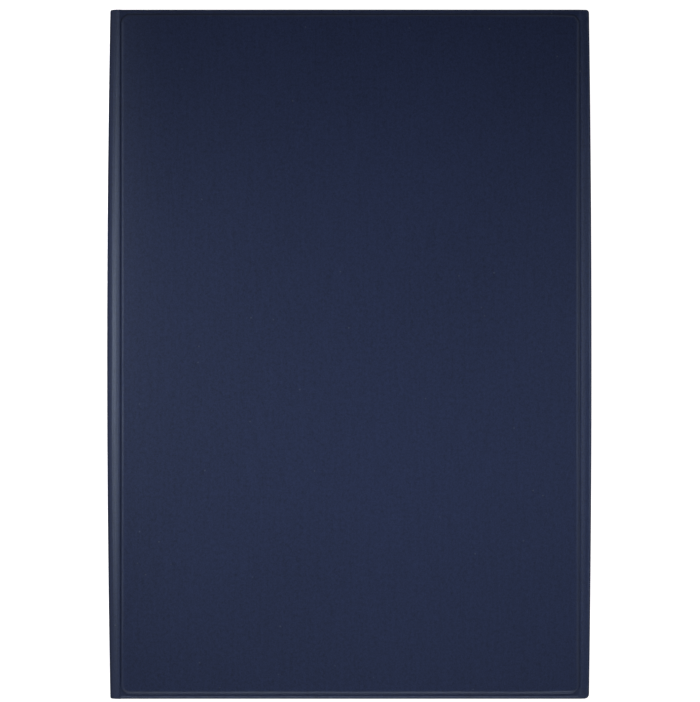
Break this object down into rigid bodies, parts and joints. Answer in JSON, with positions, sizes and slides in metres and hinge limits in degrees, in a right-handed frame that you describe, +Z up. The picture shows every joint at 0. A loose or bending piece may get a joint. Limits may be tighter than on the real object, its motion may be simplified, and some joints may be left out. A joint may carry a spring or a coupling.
{
  "type": "tablet keyboard case",
  "caption": "Book-style folio for a tablet, with a padded front cover, a tablet tray, a fold-out stand and a detachable keyboard held by magnets.",
  "frame": {"origin": "centre of the closed case's footprint, on the surface it lies on", "axes": "+Z up through the closed case from back cover to front cover, +Y along the case's long side, -X toward the spine"},
  "size_m": [0.18, 0.258, 0.02],
  "materials": {
    "leather": "satin fine grain",
    "lining": "matte",
    "board": "matte",
    "shell": "matte",
    "felt": "matte",
    "case_plastic": "satin",
    "key_plastic": "matte",
    "steel": "satin",
    "magnet": "satin",
    "rubber": "matte",
    "battery": "satin",
    "circuit": "satin",
    "pad_surface": "satin"
  },
  "bodies": {
    "back": {"back_skin": "leather", "back_board": "board", "anchor_strip": "leather", "tray_shell": "shell", "tray_liner": "felt", "closure_magnet_low": "magnet", "closure_magnet_high": "magnet", "hinge_base_low": "steel", "hinge_base_high": "steel"},
    "stand": {"stand_skin": "leather", "stand_board": "board", "stand_lining": "lining", "stand_fold": "leather", "hinge_arm_low": "steel", "hinge_arm_high": "steel"},
    "spine": {"spine_skin": "leather", "spine_board": "board", "spine_lining": "lining", "hinge_leather_front": "leather", "hinge_leather_back": "leather"},
    "front_cover": {"front_skin": "leather", "front_board": "board", "front_lining": "lining", "magnet_strip_rear": "steel", "magnet_strip_fore": "steel"},
    "keyboard": {"bottom_case": "case_plastic", "top_case": "case_plastic", "support_plate": "steel", "membrane": "rubber", "battery": "battery", "controller_board": "circuit", "usb_c_socket": "steel", "status_lights": "pad_surface", "keyboard_magnet_low": "magnet", "keyboard_magnet_high": "magnet"},
    "touchpad_body": {"touchpad": "pad_surface"},
    "power_switch_body": {"power_switch": "case_plastic"},
    "key_esc_body": {"key_esc": "key_plastic"},
    "keys_fn_row_body": {"keys_fn_row": "key_plastic"},
    "keys_number_row_body": {"keys_number_row": "key_plastic"},
    "key_backspace_body": {"key_backspace": "key_plastic"},
    "key_tab_body": {"key_tab": "key_plastic"},
    "keys_qwerty_row_body": {"keys_qwerty_row": "key_plastic"},
    "key_caps_body": {"key_caps": "key_plastic"},
    "keys_home_row_body": {"keys_home_row": "key_plastic"},
    "key_enter_body": {"key_enter": "key_plastic"},
    "key_shift_l_body": {"key_shift_l": "key_plastic"},
    "keys_bottom_row_body": {"keys_bottom_row": "key_plastic"},
    "key_shift_r_body": {"key_shift_r": "key_plastic"},
    "key_ctrl_body": {"key_ctrl": "key_plastic"},
    "key_fn_body": {"key_fn": "key_plastic"},
    "key_alt_l_body": {"key_alt_l": "key_plastic"},
    "key_cmd_l_body": {"key_cmd_l": "key_plastic"},
    "key_space_body": {"key_space": "key_plastic"},
    "key_cmd_r_body": {"key_cmd_r": "key_plastic"},
    "key_left_body": {"key_left": "key_plastic"},
    "key_up_body": {"key_up": "key_plastic"},
    "key_down_body": {"key_down": "key_plastic"},
    "key_right_body": {"key_right": "key_plastic"}
  },
  "joints": [
    {"name": "back_stand", "type": "hinge", "parent": "back", "child": "stand", "pos_m": [0, 0, 0.00155], "axis": [0, -1, 0], "range_deg": [0, 90], "deforming": ["stand_fold"]},
    {"name": "spine_fold", "type": "hinge", "parent": "back", "child": "spine", "pos_m": [-0.0887, 0, 0.0013], "axis": [0, -1, 0], "range_deg": [0, 90], "deforming": ["hinge_leather_back"]},
    {"name": "cover_open", "type": "hinge", "parent": "spine", "child": "front_cover", "pos_m": [-0.0887, 0, 0.0187], "axis": [0, -1, 0], "range_deg": [0, 90], "deforming": ["hinge_leather_front"]},
    {"name": "detach_keyboard", "type": "slide", "parent": "front_cover", "child": "keyboard", "axis": [1, 0, 0], "range_m": [0, 0.17]},
    {"name": "click_touchpad", "type": "slide", "parent": "keyboard", "child": "touchpad_body", "axis": [0, 0, 1], "range_m": [0, 0.0004], "stiffness_N_per_m": 2000, "springref_m": -0.0002},
    {"name": "power_slide", "type": "slide", "parent": "keyboard", "child": "power_switch_body", "axis": [1, 0, 0], "range_m": [0, 0.005]},
    {"name": "key_esc", "type": "slide", "parent": "keyboard", "child": "key_esc_body", "axis": [0, 0, 1], "range_m": [0, 0.0012], "stiffness_N_per_m": 300, "springref_m": -0.0006},
    {"name": "key_fn_row", "type": "slide", "parent": "keyboard", "child": "keys_fn_row_body", "axis": [0, 0, 1], "range_m": [0, 0.0012], "stiffness_N_per_m": 300, "springref_m": -0.0006},
    {"name": "key_number_row", "type": "slide", "parent": "keyboard", "child": "keys_number_row_body", "axis": [0, 0, 1], "range_m": [0, 0.0012], "stiffness_N_per_m": 300, "springref_m": -0.0006},
    {"name": "key_backspace", "type": "slide", "parent": "keyboard", "child": "key_backspace_body", "axis": [0, 0, 1], "range_m": [0, 0.0012], "stiffness_N_per_m": 300, "springref_m": -0.0006},
    {"name": "key_tab", "type": "slide", "parent": "keyboard", "child": "key_tab_body", "axis": [0, 0, 1], "range_m": [0, 0.0012], "stiffness_N_per_m": 300, "springref_m": -0.0006},
    {"name": "key_qwerty_row", "type": "slide", "parent": "keyboard", "child": "keys_qwerty_row_body", "axis": [0, 0, 1], "range_m": [0, 0.0012], "stiffness_N_per_m": 300, "springref_m": -0.0006},
    {"name": "key_caps", "type": "slide", "parent": "keyboard", "child": "key_caps_body", "axis": [0, 0, 1], "range_m": [0, 0.0012], "stiffness_N_per_m": 300, "springref_m": -0.0006},
    {"name": "key_home_row", "type": "slide", "parent": "keyboard", "child": "keys_home_row_body", "axis": [0, 0, 1], "range_m": [0, 0.0012], "stiffness_N_per_m": 300, "springref_m": -0.0006},
    {"name": "key_enter", "type": "slide", "parent": "keyboard", "child": "key_enter_body", "axis": [0, 0, 1], "range_m": [0, 0.0012], "stiffness_N_per_m": 300, "springref_m": -0.0006},
    {"name": "key_shift_l", "type": "slide", "parent": "keyboard", "child": "key_shift_l_body", "axis": [0, 0, 1], "range_m": [0, 0.0012], "stiffness_N_per_m": 300, "springref_m": -0.0006},
    {"name": "key_bottom_row", "type": "slide", "parent": "keyboard", "child": "keys_bottom_row_body", "axis": [0, 0, 1], "range_m": [0, 0.0012], "stiffness_N_per_m": 300, "springref_m": -0.0006},
    {"name": "key_shift_r", "type": "slide", "parent": "keyboard", "child": "key_shift_r_body", "axis": [0, 0, 1], "range_m": [0, 0.0012], "stiffness_N_per_m": 300, "springref_m": -0.0006},
    {"name": "key_ctrl", "type": "slide", "parent": "keyboard", "child": "key_ctrl_body", "axis": [0, 0, 1], "range_m": [0, 0.0012], "stiffness_N_per_m": 300, "springref_m": -0.0006},
    {"name": "key_fn", "type": "slide", "parent": "keyboard", "child": "key_fn_body", "axis": [0, 0, 1], "range_m": [0, 0.0012], "stiffness_N_per_m": 300, "springref_m": -0.0006},
    {"name": "key_alt_l", "type": "slide", "parent": "keyboard", "child": "key_alt_l_body", "axis": [0, 0, 1], "range_m": [0, 0.0012], "stiffness_N_per_m": 300, "springref_m": -0.0006},
    {"name": "key_cmd_l", "type": "slide", "parent": "keyboard", "child": "key_cmd_l_body", "axis": [0, 0, 1], "range_m": [0, 0.0012], "stiffness_N_per_m": 300, "springref_m": -0.0006},
    {"name": "key_space", "type": "slide", "parent": "keyboard", "child": "key_space_body", "axis": [0, 0, 1], "range_m": [0, 0.0012], "stiffness_N_per_m": 300, "springref_m": -0.0006},
    {"name": "key_cmd_r", "type": "slide", "parent": "keyboard", "child": "key_cmd_r_body", "axis": [0, 0, 1], "range_m": [0, 0.0012], "stiffness_N_per_m": 300, "springref_m": -0.0006},
    {"name": "key_left", "type": "slide", "parent": "keyboard", "child": "key_left_body", "axis": [0, 0, 1], "range_m": [0, 0.0012], "stiffness_N_per_m": 300, "springref_m": -0.0006},
    {"name": "key_up", "type": "slide", "parent": "keyboard", "child": "key_up_body", "axis": [0, 0, 1], "range_m": [0, 0.0012], "stiffness_N_per_m": 300, "springref_m": -0.0006},
    {"name": "key_down", "type": "slide", "parent": "keyboard", "child": "key_down_body", "axis": [0, 0, 1], "range_m": [0, 0.0012], "stiffness_N_per_m": 300, "springref_m": -0.0006},
    {"name": "key_right", "type": "slide", "parent": "keyboard", "child": "key_right_body", "axis": [0, 0, 1], "range_m": [0, 0.0012], "stiffness_N_per_m": 300, "springref_m": -0.0006}
  ],
  "couplings": [
    {"joint": "spine_fold", "follows": "cover_open", "ratio": 1}
  ]
}
